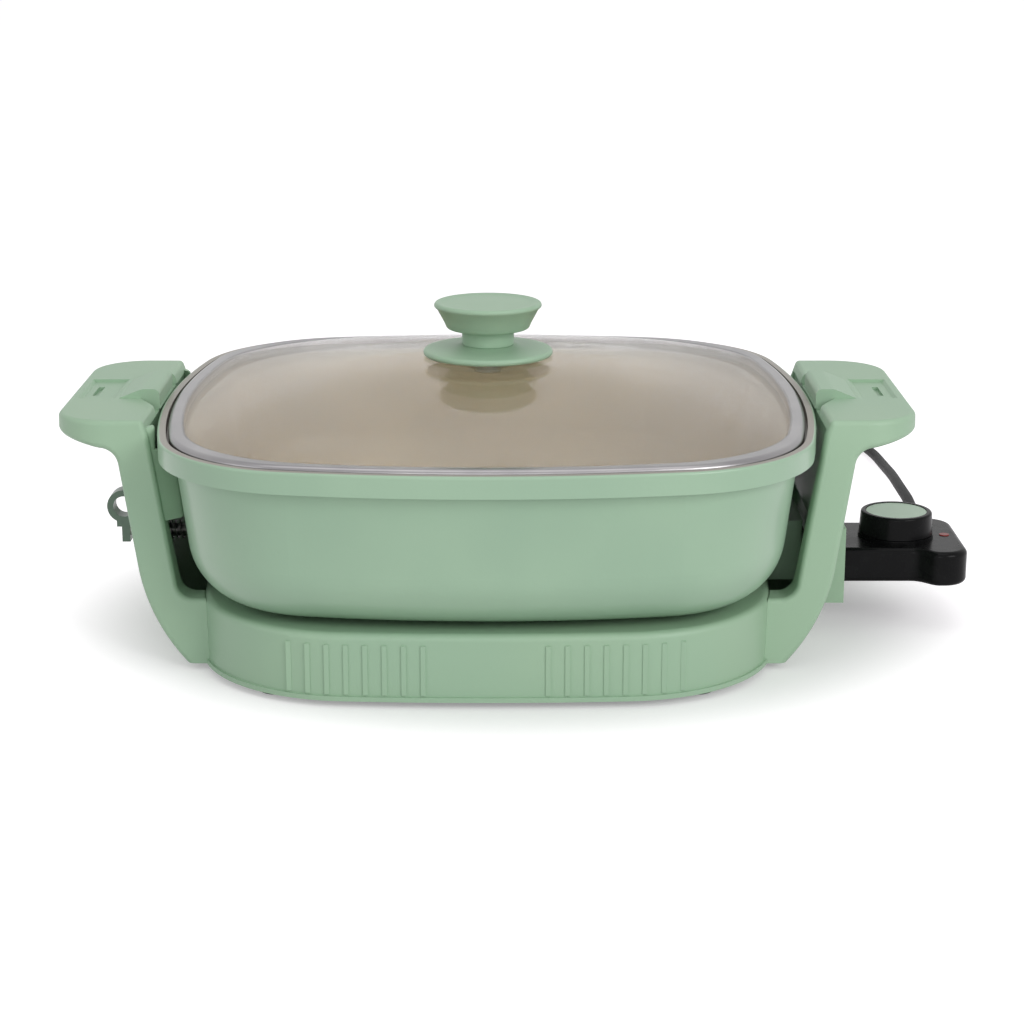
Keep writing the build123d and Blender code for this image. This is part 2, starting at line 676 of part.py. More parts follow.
with BuildPart() as knob_flange:
    with BuildSketch(facing(0)) as section:
        with BuildLine():
            Line((STUD_R + 0.5, KNOB_FLANGE_Z), (FLANGE_R, KNOB_FLANGE_Z))
            Line((FLANGE_R, KNOB_FLANGE_Z), (FLANGE_R, KNOB_FLANGE_Z + FLANGE_EDGE))
            ThreePointArc(
                (FLANGE_R, KNOB_FLANGE_Z + FLANGE_EDGE),
                (22, KNOB_FLANGE_Z + FLANGE_EDGE + 0.8),
                (NECK_R, KNOB_FLANGE_Z + FLANGE_RISE),
            )
            Line((NECK_R, KNOB_FLANGE_Z + FLANGE_RISE), (STUD_R + 0.5, KNOB_FLANGE_Z + FLANGE_RISE))
            Line((STUD_R + 0.5, KNOB_FLANGE_Z + FLANGE_RISE), (STUD_R + 0.5, KNOB_FLANGE_Z))
        make_face()
        fillet(section.vertices().sort_by(Axis.X)[-2:], 1.2)
    revolve(axis=Axis((PAN_X, 0, 0), (0, 0, 1)))

with BuildPart() as lid_knob:
    with BuildSketch(facing(0)) as section:
        with BuildLine():
            Polyline(
                (0, KNOB_FLANGE_Z + STUD_UP),
                (STUD_R, KNOB_FLANGE_Z + STUD_UP),
                (STUD_R, KNOB_FLANGE_Z + FLANGE_RISE),
                (NECK_R, KNOB_FLANGE_Z + FLANGE_RISE),
                (NECK_R, KNOB_LOW_Z - 1.5),
                (KNOB_LOW_R, KNOB_LOW_Z),
                (KNOB_TOP_R, KNOB_TOP_Z),
                (0, KNOB_TOP_Z),
                (0, KNOB_FLANGE_Z + STUD_UP),
            )
        make_face()
        for corner, radius in (
            ((NECK_R, KNOB_LOW_Z - 1.5), 1.5),
            ((KNOB_LOW_R, KNOB_LOW_Z), 2),
            ((KNOB_TOP_R, KNOB_TOP_Z), 1.8),
        ):
            fillet(section.vertices().sort_by_distance(Vector(*corner, 0))[0], radius)
    revolve(axis=Axis((PAN_X, 0, 0), (0, 0, 1)))

# Screw from under the glass, its washer, and the soft ring that seats it.
with BuildPart() as knob_screw:
    with BuildSketch(level(KNOB_FLANGE_Z - GLASS - 4.6)):
        Circle(6.5)
    extrude(amount=2.6)
    fillet(knob_screw.faces().sort_by(Axis.Z)[0].edges(), 1.2)
    with BuildSketch(level(KNOB_FLANGE_Z - GLASS - 2)):
        Circle(STUD_R)
    extrude(amount=GLASS + 2 + STUD_UP - 1)
with BuildPart() as knob_washer:
    with BuildSketch(level(KNOB_FLANGE_Z - GLASS - 2)):
        Circle(10)
        Circle(STUD_R, mode=Mode.SUBTRACT)
    extrude(amount=2)

save(lid_glass, "lid_glass")
save(lid_rim, "lid_rim")
save(knob_flange, "knob_flange")
save(lid_knob, "lid_knob")
save(knob_screw, "knob_screw")
save(knob_washer, "knob_washer")

# ================================================================ the thermostat
PROBE_FACE = 160.0  # inner face of its body, just outside the pan
BLOCK_X = 211.0  # where the wider outer block begins
BLOCK_HALF = 33.0
SKIN = 2.0
SPLIT_Z = SOCKET_Z
NOSE_IN = 137.0
NOSE_HALF = (17.6, 5.6)
SLEEVE_R = 3.6
CAP_R = 15.2
RING_LOW = 43.9
RING_TOP = 54.9
SHAFT_R = 3.0
LAMP_X = 228.5
LAMP_R = 2.6
LENS_LOW = PROBE_TOP - 2.9
CARRIER_TOP = SOCKET_Z + 5.5
CARRIER_LOW = PROBE_LOW + SKIN + 1
BLADE_Z = SOCKET_Z + 3.3
CASE_POST_R = 3.1
CASE_SCREW_R = 1.2
CASE_HEAD_R = 2.4
CASE_SCREWS = ((169.0, 20.6), (169.0, -20.6), (229.0, 22.0), (229.0, -22.0))
GLAND_X = 223.0
GLAND_R = 3.9
GLAND_Z = SPLIT_Z
COLLAR_Y = BLOCK_HALF - SKIN - 2.2  # inner face of the strain relief's collar


def probe_body(inset):
    """The thermostat's body as one closed form, this far inside its outer faces."""
    with BuildPart() as solid:
        with BuildSketch(level(PROBE_LOW + inset)) as plan:
            with BuildLine():
                Polyline(
                    (PROBE_FACE, -PROBE_HALF),
                    (BLOCK_X, -PROBE_HALF),
                    (BLOCK_X + 8, -BLOCK_HALF),
                    (PROBE_REACH, -BLOCK_HALF),
                    (PROBE_REACH, BLOCK_HALF),
                    (BLOCK_X + 8, BLOCK_HALF),
                    (BLOCK_X, PROBE_HALF),
                    (PROBE_FACE, PROBE_HALF),
                    close=True,
                )
            make_face()
            for x, radius in ((BLOCK_X + 8, 8), (BLOCK_X, 8)):
                fillet([v for v in plan.vertices() if abs(v.X - x) < 0.1], radius)
            outer = [v for v in plan.vertices() if abs(v.X - PROBE_REACH) < 0.1]
            fillet(outer, 12)
            if inset:
                offset(amount=-inset, mode=Mode.REPLACE)
        extrude(amount=PROBE_TOP - PROBE_LOW - 2 * inset)
        if not inset:
            fillet(solid.faces().sort_by(Axis.Z)[-1].edges(), 2.8)
            fillet(solid.faces().sort_by(Axis.Z)[0].edges(), 2.5)
    return solid.part


def case_screw_columns(radius, low, height, mode=Mode.ADD):
    columns(Locations(*CASE_SCREWS), radius, low, height, mode)


with BuildPart() as thermostat_top:
    add(probe_body(0))
    # Low round table that the dial turns on.
    columns(Locations((DIAL_X, 0)), DIAL_R + 0.4, PROBE_TOP - 1, RING_LOW - PROBE_TOP + 0.7)
    add(probe_body(SKIN), mode=Mode.SUBTRACT)
    case_screw_columns(CASE_POST_R, SPLIT_Z, PROBE_TOP - 1 - SPLIT_Z)
    with BuildSketch(level(SPLIT_Z)):
        with Locations((200, 0)):
            Rectangle(140, 90)
    extrude(amount=-20, mode=Mode.SUBTRACT)
    with BuildSketch(level(SPLIT_Z)):
        with Locations((DIAL_X, 0)):
            Circle(SHAFT_R + RUNNING)
        with Locations((LAMP_X, 0)):
            Circle(LAMP_R)
    extrude(amount=30, mode=Mode.SUBTRACT)
    case_screw_columns(CASE_SCREW_R, SPLIT_Z - 1, 7, Mode.SUBTRACT)

with BuildPart() as thermostat_base:
    add(probe_body(0))
    add(probe_body(SKIN), mode=Mode.SUBTRACT)
    case_screw_columns(CASE_POST_R, PROBE_LOW + 1, SPLIT_Z - PROBE_LOW - 1)
    # Shelf for the contact carrier.
    with BuildSketch(level(PROBE_LOW + SKIN - 0.5)):
        with Locations((176, 0)):
            Rectangle(26, 40)
    extrude(amount=1.5)
    with BuildSketch(level(SPLIT_Z)):
        with Locations((200, 0)):
            Rectangle(140, 90)
    extrude(amount=20, mode=Mode.SUBTRACT)
    case_screw_columns(CASE_SCREW_R, PROBE_LOW - 1, SPLIT_Z - PROBE_LOW + 2, Mode.SUBTRACT)
    case_screw_columns(CASE_HEAD_R, PROBE_LOW - 1, 2.6, Mode.SUBTRACT)

# Openings shared by both halves: the nose's mouth, and the gland with its collar's groove.
with BuildPart() as case_openings:
    with BuildSketch(across(PROBE_FACE - 2)):
        with Locations((0, SOCKET_Z)):
            RectangleRounded(2 * NOSE_HALF[0], 2 * NOSE_HALF[1], 3)
    extrude(amount=SKIN + 4)
    with BuildSketch(facing(BLOCK_HALF + 2)):
        with Locations((GLAND_X, GLAND_Z)):
            Circle(GLAND_R)
    extrude(amount=SKIN + 4)
    with BuildSketch(facing(COLLAR_Y + 2)):
        with Locations((GLAND_X, GLAND_Z)):
            Circle(GLAND_R + 1)
    extrude(amount=2)
for half in (thermostat_top, thermostat_base):
    half.part = half.part - case_openings.part

with BuildPart() as case_screws:
    case_screw_columns(CASE_HEAD_R, PROBE_LOW + 0.1, 1.5)
    case_screw_columns(CASE_SCREW_R, PROBE_LOW + 1.6, SPLIT_Z + 3.4 - PROBE_LOW)

# Moulded contact carrier: its nose enters the guard and holds the sleeves and the rod.
with BuildPart() as contact_carrier:
    with BuildSketch(across(NOSE_IN)):
        with Locations((0, SOCKET_Z)):
            RectangleRounded(2 * NOSE_HALF[0], 2 * NOSE_HALF[1], 3)
    extrude(amount=PROBE_FACE + SKIN - NOSE_IN)
    with BuildSketch(across(PROBE_FACE + SKIN)):
        with Locations((0, (CARRIER_TOP + CARRIER_LOW) / 2)):
            Rectangle(32.4, CARRIER_TOP - CARRIER_LOW)
    extrude(amount=20)
    with BuildSketch(across(NOSE_IN)):
        with Locations((-PIN_Y, SOCKET_Z), (PIN_Y, SOCKET_Z)):
            Circle(SLEEVE_R)
        with Locations((0, SOCKET_Z)):
            Circle(ROD_R)
    extrude(amount=60, mode=Mode.SUBTRACT)

with BuildPart() as contact_sleeves:
    with BuildSketch(across(NOSE_IN + 0.5)):
        with Locations((-PIN_Y, SOCKET_Z), (PIN_Y, SOCKET_Z)):
            Circle(SLEEVE_R)
            Circle(PIN_R + RUNNING, mode=Mode.SUBTRACT)
    extrude(amount=34)

with BuildPart() as sensor_rod:
    pins(Locations((0, SOCKET_Z)), ROD_R, ROD_TIP, PROBE_FACE + SKIN + 26 - ROD_TIP)
    fillet(sensor_rod.faces().sort_by(Axis.X)[0].edges(), 2)

# Switch: a sprung blade riveted on the carrier, which the dial's shaft bears on.
with BuildPart() as switch_blade:
    with BuildSketch(facing(0)):
        with BuildLine():
            Polyline(
                (172, CARRIER_TOP),
                (182.5, CARRIER_TOP),
                (189, BLADE_Z),
                (212, BLADE_Z),
                (212, BLADE_Z + 0.5),
                (189.2, BLADE_Z + 0.5),
                (182.7, CARRIER_TOP + 0.5),
                (172, CARRIER_TOP + 0.5),
                close=True,
            )
        make_face()
    extrude(amount=4, both=True)

with BuildPart() as pilot_lamp:
    columns(Locations((LAMP_X, 0)), 2.4, PROBE_LOW + SKIN, 6)
    columns(Locations((LAMP_X, 0)), 1.8, PROBE_LOW + SKIN + 6, LENS_LOW - PROBE_LOW - SKIN - 6)
with BuildPart() as lamp_lens:
    columns(Locations((LAMP_X, 0)), LAMP_R, LENS_LOW, PROBE_TOP + 0.4 - LENS_LOW)
    fillet(lamp_lens.faces().sort_by(Axis.Z)[-1].edges(), 0.4)

for piece, name in (
    (thermostat_top, "thermostat_top"),
    (thermostat_base, "thermostat_base"),
    (case_screws, "case_screws"),
    (contact_carrier, "contact_carrier"),
    (contact_sleeves, "contact_sleeves"),
    (sensor_rod, "sensor_rod"),
    (switch_blade, "switch_blade"),
    (pilot_lamp, "pilot_lamp"),
    (lamp_lens, "lamp_lens"),
):
    save(piece, name)

# ================================================================ the dial
with BuildPart() as dial_ring:
    with BuildSketch(level(RING_LOW)):
        with Locations((DIAL_X, 0)):
            Circle(DIAL_R)
    with BuildSketch(level(RING_TOP)):
        with Locations((DIAL_X, 0)):
            Circle(DIAL_R - 0.7)
    loft()
    fillet(dial_ring.faces().sort_by(Axis.Z)[-1].edges(), 1.2)
    columns(Locations((DIAL_X, 0)), CAP_R, RING_TOP - 1.6, 4, Mode.SUBTRACT)
    columns(Locations((DIAL_X, 0)), SHAFT_R, RING_LOW, 7, Mode.SUBTRACT)

with BuildPart() as dial_cap:
    columns(Locations((DIAL_X, 0)), CAP_R, RING_TOP - 1.6, 1.3)
    fillet(dial_cap.faces().sort_by(Axis.Z)[-1].edges(), 0.5)

with BuildPart() as dial_shaft:
    columns(Locations((DIAL_X, 0)), SHAFT_R, SOCKET_Z + 4.1, RING_LOW + 7 - SOCKET_Z - 4.1)
    columns(Locations((DIAL_X, 0)), SHAFT_R + 1.5, PROBE_TOP - SKIN - 1.3, 1)

save(dial_ring, "dial_ring")
save(dial_cap, "dial_cap")
save(dial_shaft, "dial_shaft")

# ================================================================ the cord
CORD_START = BLOCK_HALF + 14  # end of the strain relief
PLUG_LENGTH = 34.0
ROUTE = (
    (GLAND_X, CORD_START, GLAND_Z),
    (225.5, 96, 31.8),
    (230.2, 152, 26),
    (234.8, 212, 17.8),
    (239.6, 270, 9),
    (242, 322, 4.2),
    (234, 372, 3.4),
    (208, 413, 3.2),
    (162, 436, 3.2),
    (104, 440, 3.2),
    (44, 430, 3.2),
    (-18, 424, 3.2),
    (-78, 430, 3.4),
    (-132, 450, 5),
    (-176, 478, 7.4),
)

points = [Vector(PAN_X + x, y, z) for x, y, z in ROUTE]
with BuildPart() as strain_relief:
    with BuildSketch(facing(COLLAR_Y)):
        with Locations((GLAND_X, GLAND_Z)):
            Circle(GLAND_R + 1)
    extrude(amount=-2)
    with BuildSketch(facing(COLLAR_Y + 2)):
        with Locations((GLAND_X, GLAND_Z)):
            Circle(GLAND_R)
    with BuildSketch(Plane(origin=points[0], z_dir=points[0] - points[1])):
        Circle(CORD_R + 0.5)
    loft()

radii = []
for before, corner, after in zip(points, points[1:], points[2:]):
    turn = radians((corner - before).get_angle(after - corner))
    shorter = min((corner - before).length, (after - corner).length)
    radii.append(0.45 * shorter / tan(turn / 2))
print("cord bend radii", [round(r) for r in radii])

with BuildPart() as power_cord:
    with BuildLine() as cord_path:
        FilletPolyline(*points, radius=radii)
    with BuildSketch(Plane(origin=points[0], z_dir=points[1] - points[0])):
        Circle(CORD_R)
    sweep(path=cord_path.line)
cord_length = cord_path.wires()[0].length
print("cord length", round(cord_length))
cord_ratio = power_cord.part.volume / (cord_length * pi * CORD_R**2)
print("cord volume over section times length", round(cord_ratio, 4))

plug_axis = (points[-1] - points[-2]).normalized()
plug_plane = Plane(origin=points[-1], x_dir=Vector(0, 0, 1).cross(plug_axis), z_dir=plug_axis)
with BuildPart() as plug_body:
    with BuildSketch(plug_plane):
        Circle(CORD_R + 1.5)
    with BuildSketch(plug_plane.offset(12)):
        RectangleRounded(17, 12, 4)
    loft()
    with BuildSketch(plug_plane.offset(12)):
        RectangleRounded(24, 14, 5)
    extrude(amount=PLUG_LENGTH - 12)

with BuildPart() as plug_blades:
    with BuildSketch(plug_plane.offset(PLUG_LENGTH)):
        with Locations((-6.35, 0), (6.35, 0)):
            Rectangle(1.5, 6.4)
    extrude(amount=17)

save(strain_relief, "strain_relief")
save(power_cord, "power_cord")
save(plug_body, "plug_body")
save(plug_blades, "plug_blades")
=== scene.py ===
import bmesh
import bpy
import numpy as np
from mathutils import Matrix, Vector


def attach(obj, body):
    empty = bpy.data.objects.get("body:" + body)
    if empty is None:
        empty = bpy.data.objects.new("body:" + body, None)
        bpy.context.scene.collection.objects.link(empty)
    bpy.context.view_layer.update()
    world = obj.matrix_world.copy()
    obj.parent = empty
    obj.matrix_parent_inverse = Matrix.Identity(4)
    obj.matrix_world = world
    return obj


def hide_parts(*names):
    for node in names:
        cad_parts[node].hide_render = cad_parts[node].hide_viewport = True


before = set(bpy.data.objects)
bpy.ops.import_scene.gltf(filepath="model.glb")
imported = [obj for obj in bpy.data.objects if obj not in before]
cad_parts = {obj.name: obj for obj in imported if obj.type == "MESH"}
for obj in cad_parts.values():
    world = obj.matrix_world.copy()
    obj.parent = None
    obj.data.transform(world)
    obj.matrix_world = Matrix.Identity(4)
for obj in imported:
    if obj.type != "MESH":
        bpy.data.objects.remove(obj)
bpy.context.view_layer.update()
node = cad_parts

# Camera: a long lens a little above the rim, square to the skillet's front.
CAMERA_AT = (-0.00475, -1.1091, 0.361)
CAMERA_TILT = 15.48
CAMERA_LENS, CAMERA_SENSOR = 80.86, 36
CAMERA_REACH = 20
camera = bpy.data.objects.new("camera", bpy.data.cameras.new("camera"))
bpy.context.scene.collection.objects.link(camera)
camera.location = CAMERA_AT
camera.rotation_euler = (np.radians(90 - CAMERA_TILT), 0, 0)
camera.data.lens = CAMERA_LENS
camera.data.sensor_width = CAMERA_SENSOR
camera.data.clip_end = CAMERA_REACH
bpy.context.scene.camera = camera

# Mains cord: 6 mm black rubber over two cores, moulded on to a tapered strain relief at the
# thermostat's gland and on to a two-pin plug at the far end.  It droops to the table behind
# the handle and lies loosely along the back of the stand.
PAN_X = -0.0165


class Shade:
    """One socket of a material's nodes. Arithmetic on it adds the Math nodes that do it,
    and node() adds any other kind of node to the same material."""

    def __init__(self, tree, out=None):
        self.tree = tree
        self.out = out

    def node(self, kind, inputs=None, out=0, **settings):
        made = self.tree.nodes.new(kind)
        for key, value in settings.items():
            setattr(made, key, value)
        for key, value in (inputs or {}).items():
            if isinstance(value, Shade):
                self.tree.links.new(value.out, made.inputs[key])
            else:
                made.inputs[key].default_value = value
        return Shade(self.tree, made.outputs[out])

    def math(self, operation, *values):
        return self.node("ShaderNodeMath", dict(enumerate(values)), operation=operation)

    def __add__(self, other):
        return self.math("ADD", self, other)

    __radd__ = __add__

    def __sub__(self, other):
        return self.math("SUBTRACT", self, other)

    def __rsub__(self, other):
        return self.math("SUBTRACT", other, self)

    def __mul__(self, other):
        return self.math("MULTIPLY", self, other)

    __rmul__ = __mul__

    def step(self, low, high):
        """0 below low, 1 above high, and smooth between."""
        values = {"Value": self, "From Min": low, "From Max": high}
        return self.node("ShaderNodeMapRange", values, interpolation_type="SMOOTHSTEP")

    def blend(self, first, second):
        """The first colour where this is 0 and the second where it is 1."""
        return self.node("ShaderNodeMix", {0: self, 6: first, 7: second}, out=2, data_type="RGBA")

    def place(self):
        return self.node("ShaderNodeTexCoord", out="Object")

    def along(self, axis):
        """The piece's own X, Y or Z in metres, as a number."""
        return self.node("ShaderNodeSeparateXYZ", {"Vector": self.place()}, out=axis)

    def noise(self, scale, detail=2.0, stretch=(1, 1, 1)):
        """Soft noise about 0.5, so many lumps to the metre, longer where stretch is less."""
        place = self.place()
        if stretch != (1, 1, 1):
            place = self.node("ShaderNodeMapping", {"Vector": place, "Scale": stretch})
        values = {"Vector": place, "Scale": scale, "Detail": detail}
        return self.node("ShaderNodeTexNoise", values)

    def mottle(self, scale, first, second, detail=2.0):
        """Two screen colours in soft lumps, so many to the metre."""
        return self.noise(scale, detail).step(0.3, 0.7).blend(colour(*first), colour(*second))

    def bump(self, height, distance):
        values = {"Height": height, "Distance": distance, "Strength": 1.0}
        return self.node("ShaderNodeBump", values)


def colour(red, green, blue):
    """A screen colour, 0 to 255, as the linear values that shaders use."""
    screen = np.array([red, green, blue]) / 255
    linear = np.where(screen < 0.04045, screen / 12.92, ((screen + 0.055) / 1.055) ** 2.4)
    return (*linear.tolist(), 1.0)


def finish(name, sockets):
    """A material whose Principled shader has these values; sockets(shade) returns them."""
    made = bpy.data.materials.new(name)
    made.use_nodes = True
    tree = made.node_tree
    shader = tree.nodes["Principled BSDF"]
    for key, value in sockets(Shade(tree)).items():
        if isinstance(value, Shade):
            tree.links.new(value.out, shader.inputs[key])
        else:
            shader.inputs[key].default_value = value
    return made


def wear(material, *pieces):
    """Give pieces, or CAD nodes by name, this finish."""
    for piece in pieces:
        piece = node[piece] if isinstance(piece, str) else piece
        piece.data.materials.clear()
        piece.data.materials.append(material)


def rubber_sockets(shade):
    grain = shade.noise(1400, 3)
    bloom = shade.noise(45, 3).step(0.35, 0.7)
    return {
        "Base Color": bloom.blend(colour(20, 20, 21), colour(28, 28, 29)),
        "Roughness": 0.42 + 0.2 * grain,
        "Specular IOR Level": 0.08,
        "Normal": shade.bump(grain, 0.00015),
    }


black_rubber = finish("black_rubber", rubber_sockets)

CORD_RADIUS = 0.003
ROUTE = (
    (0.223, 0.047, 0.0334),
    (0.2285, 0.096, 0.0318),
    (0.232, 0.152, 0.026),
    (0.2374, 0.212, 0.0178),
    (0.2416, 0.270, 0.009),
    (0.243, 0.322, 0.0042),
    (0.234, 0.372, 0.0034),
    (0.208, 0.413, 0.0032),
    (0.162, 0.436, 0.0032),
    (0.104, 0.440, 0.0032),
    (0.044, 0.430, 0.0032),
    (-0.018, 0.424, 0.0032),
    (-0.078, 0.430, 0.0034),
    (-0.132, 0.450, 0.005),
    (-0.176, 0.478, 0.0074),
)
cord_line = bpy.data.curves.new("mains_cord", "CURVE")
cord_line.dimensions = "3D"
cord_line.bevel_depth = CORD_RADIUS
cord_line.bevel_resolution = 6
cord_line.resolution_u = 16
cord_line.use_fill_caps = True
spline = cord_line.splines.new("NURBS")
spline.points.add(len(ROUTE) - 1)
for point, (x, y, z) in zip(spline.points, ROUTE):
    point.co = (PAN_X + x, y, z, 1)
spline.order_u = 3
spline.use_endpoint_u = True
cord = bpy.data.objects.new("mains_cord", cord_line)
bpy.context.scene.collection.objects.link(cord)
wear(black_rubber, cord, "strain_relief", "plug_body")
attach(cord, "thermostat")
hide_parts("power_cord")

# Table and light: a pale sheet that keeps a soft shadow, with a glow seen by the lens that is
# weaker close round the skillet as painted shade and whitens with distance, a key softbox at the
# front right, weaker ones overhead, in front and at the left, and an even fill.
SHEET_GREY = 0.74
GLOW_NEAR, GLOW_FAR = 0.26, 0.74
GLOW_STARTS, GLOW_FULL = 0.135, 0.215
GLOW_WIDTH = 0.72
TABLE_HALF = 6
FILL = 0.38
SOFTBOXES = (
    ("top softbox", (-0.1, -0.3, 1.5), (1.4, 1.0), 5.0),
    ("key softbox", (1.35, -1.5, 1.0), (1.1, 0.9), 18.0),
    ("front softbox", (-0.1, -1.7, 0.45), (0.7, 0.6), 3.5),
    ("left softbox", (-1.5, -0.9, 0.8), (0.8, 0.9), 3.0),
)


def seen_rays(shade):
    """1 for a ray from the lens, a mirror or clear glass, and 0 for one that carries light."""
    names = ("Is Camera Ray", "Is Glossy Ray", "Is Transmission Ray")
    camera_ray, mirror_ray, glass_ray = (shade.node("ShaderNodeLightPath", out=n) for n in names)
    return shade.math("MAXIMUM", camera_ray, shade.math("MAXIMUM", mirror_ray, glass_ray))


def open_tree(owner, kept):
    """The owner's node tree with only its output kept, ready for another shader."""
    owner.use_nodes = True
    tree = owner.node_tree
    for old in [n for n in tree.nodes if n.type not in kept]:
        tree.nodes.remove(old)
    return Shade(tree)


table_mesh = bpy.data.meshes.new("table")
corners = [(x * TABLE_HALF, y * TABLE_HALF, 0) for x, y in ((-1, -1), (1, -1), (1, 1), (-1, 1))]
table_mesh.from_pydata(corners, [], [(0, 1, 2, 3)])
table = bpy.data.objects.new("table", table_mesh)
bpy.context.scene.collection.objects.link(table)
paper = bpy.data.materials.new("paper")
shade = open_tree(paper, ["OUTPUT_MATERIAL"])
matt = shade.node("ShaderNodeBsdfDiffuse", {"Color": (SHEET_GREY, SHEET_GREY, SHEET_GREY, 1)})
x, y = shade.along("X"), shade.along("Y")
# Painted shade: the glow is dimmer near the skillet and rises to full away from it.
away = shade.math("SQRT", x * x * GLOW_WIDTH + y * y).step(GLOW_STARTS, GLOW_FULL)
strength = seen_rays(shade) * (GLOW_NEAR + (GLOW_FAR - GLOW_NEAR) * away)
glow = shade.node("ShaderNodeEmission", {"Color": (1, 0.97, 1, 1), "Strength": strength})
sheet = shade.node("ShaderNodeAddShader", {0: matt, 1: glow})
shade.tree.links.new(sheet.out, shade.tree.nodes["Material Output"].inputs["Surface"])
wear(paper, table)

room = bpy.data.worlds.new("room")
bpy.context.scene.world = room
shade = open_tree(room, ["OUTPUT_WORLD"])
level = FILL + seen_rays(shade) * (1 - FILL)
sky = shade.node("ShaderNodeBackground", {"Color": (1, 1, 1, 1), "Strength": level})
shade.tree.links.new(sky.out, shade.tree.nodes["World Output"].inputs["Surface"])

for name, place, size, power in SOFTBOXES:
    lamp = bpy.data.lights.new(name, "AREA")
    lamp.shape = "RECTANGLE"
    lamp.size, lamp.size_y = size
    lamp.energy = power
    box = bpy.data.objects.new(name, lamp)
    box.location = place
    box.rotation_euler = (Vector((0, 0, 0.06)) - Vector(place)).to_track_quat("-Z", "Y").to_euler()
    bpy.context.scene.collection.objects.link(box)

bpy.context.scene.view_settings.view_transform = "Standard"

# Pan: cast aluminium, 4 mm thick, sprayed outside with mint enamel that is baked on, and
# inside, over the lid's ledge and on top of the rim, with a taupe non-stick coating.
RIM_HALF, RIM_BOW, RIM_CORNER = 0.158, 0.5, 0.076
BAND_LOW = 0.103
BODY_STEP = 0.0075
DRAFT = np.radians(7)
PAN_BOTTOM = 0.0356
HEEL = 0.031
WALL = 0.0042
COATED_RIM, COAT_FADE = 0.0009, 0.0004
RIM_COAT_FROM, RIM_COAT_FULL = 0.1075, 0.1078
MINT = colour(157, 187, 160)
MINT_DEEP = colour(152, 182, 156)
RIM_COAT = colour(150, 145, 136)
TAUPE = colour(154, 134, 107)
TAUPE_DEEP = colour(142, 123, 97)


def corner_centre(half, bow, corner):
    """Where a bowed square's corner arc has its centre, on the diagonal: the point k, k at
    the distance bow - corner from the side arc's centre, half - bow."""
    centre = half - bow
    return (centre + np.sqrt(2 * (bow - corner) ** 2 - centre**2)) / 2


def inset_from(shade, half, bow, corner):
    """Distance inside a bowed square: the arc's radius less the distance from its centre,
    on the side arc where the point's direction is within the side's lean, else the corner's."""
    k = corner_centre(half, bow, corner)
    x = shade.math("ABSOLUTE", shade.along("X") - PAN_X)
    y = shade.math("ABSOLUTE", shade.along("Y"))
    far = shade.math("MAXIMUM", x, y)
    near = shade.math("MINIMUM", x, y)

    def depth(a, b, radius):
        return radius - shade.math("SQRT", (far - a) * (far - a) + (near - b) * (near - b))

    at_corner = shade.math("GREATER_THAN", near, (far - (half - bow)) * (k / (k - half + bow)))
    side, bend = depth(half - bow, 0.0, bow), depth(k, k, corner)
    return side + at_corner * (bend - side)


def pan_sockets(shade):
    """Depth under the pan's outer skin is that of a rounded inner corner: heel radius less
    the length of what is left to the wall and to the bottom. Past half the wall's thickness
    the surface is the coated inside."""
    inset = inset_from(shade, RIM_HALF, RIM_BOW, RIM_CORNER)
    height = shade.along("Z")
    to_wall = (inset - BODY_STEP - np.tan(DRAFT) * (BAND_LOW - height)) * np.cos(DRAFT)
    left, below = HEEL - to_wall, HEEL - (height - PAN_BOTTOM)
    left_out, below_out = shade.math("MAXIMUM", left, 0.0), shade.math("MAXIMUM", below, 0.0)
    reach = shade.math("SQRT", left_out * left_out + below_out * below_out)
    within = shade.math("MINIMUM", shade.math("MAXIMUM", left, below), 0.0)
    depth = HEEL - reach - within
    inside = depth.step(WALL * 0.45, WALL * 0.5)
    in_from_edge = inset.step(COATED_RIM, COATED_RIM + COAT_FADE)
    on_rim = height.step(RIM_COAT_FROM, RIM_COAT_FULL) * in_from_edge
    coated = shade.math("MAXIMUM", inside, on_rim)
    flow = shade.noise(14, 2).step(0.35, 0.65)
    peel = shade.noise(420, 2)
    fleck = shade.noise(2600, 1).step(0.62, 0.72)
    enamel = flow.blend(MINT, MINT_DEEP)
    lining = (fleck * 0.5).blend(flow.blend(TAUPE, TAUPE_DEEP), colour(182, 170, 150))
    lining = on_rim.blend(lining, RIM_COAT)
    return {
        "Base Color": coated.blend(enamel, lining),
        "Roughness": 0.30 + 0.05 * flow + coated * 0.08,
        "Coat Weight": 0.18 - coated * 0.14,
        "Coat Roughness": 0.12,
        "Normal": shade.bump(peel + fleck * coated * 0.5, 0.00005),
    }


def steel_sockets(grey, rough, stretch):
    """Rolled or drawn steel: fine lines where stretch is long, and a slight patchiness."""

    def sockets(shade):
        lines = shade.noise(900, 3, stretch)
        patch = shade.noise(30, 2).step(0.3, 0.7)
        low, high = colour(grey - 8, grey - 9, grey - 11), colour(grey + 4, grey + 3, grey + 1)
        return {
            "Base Color": patch.blend(low, high),
            "Metallic": 1.0,
            "Roughness": rough + 0.12 * lines,
            "Normal": shade.bump(lines, 0.00003),
        }

    return sockets


pan_finish = finish("mint_enamel_and_coating", pan_sockets)
drawn_steel = finish("drawn_steel", steel_sockets(172, 0.26, (1, 1, 1)))
dull_steel = finish("element_steel", steel_sockets(120, 0.42, (1, 1, 1)))
wear(pan_finish, "pan")
wear(dull_steel, "heating_element")
wear(drawn_steel, "terminal_pins", "socket_guard")

# Stand: a moulded band of mint plastic with upright beads on its front and back, a tray
# screwed in from below on four lugs, its darker green painted shade under the pan, a bright
# shield, soft rests under the pan and four rubber feet.
PLASTIC = colour(154, 184, 157)
PLASTIC_WARM = colour(157, 186, 158)


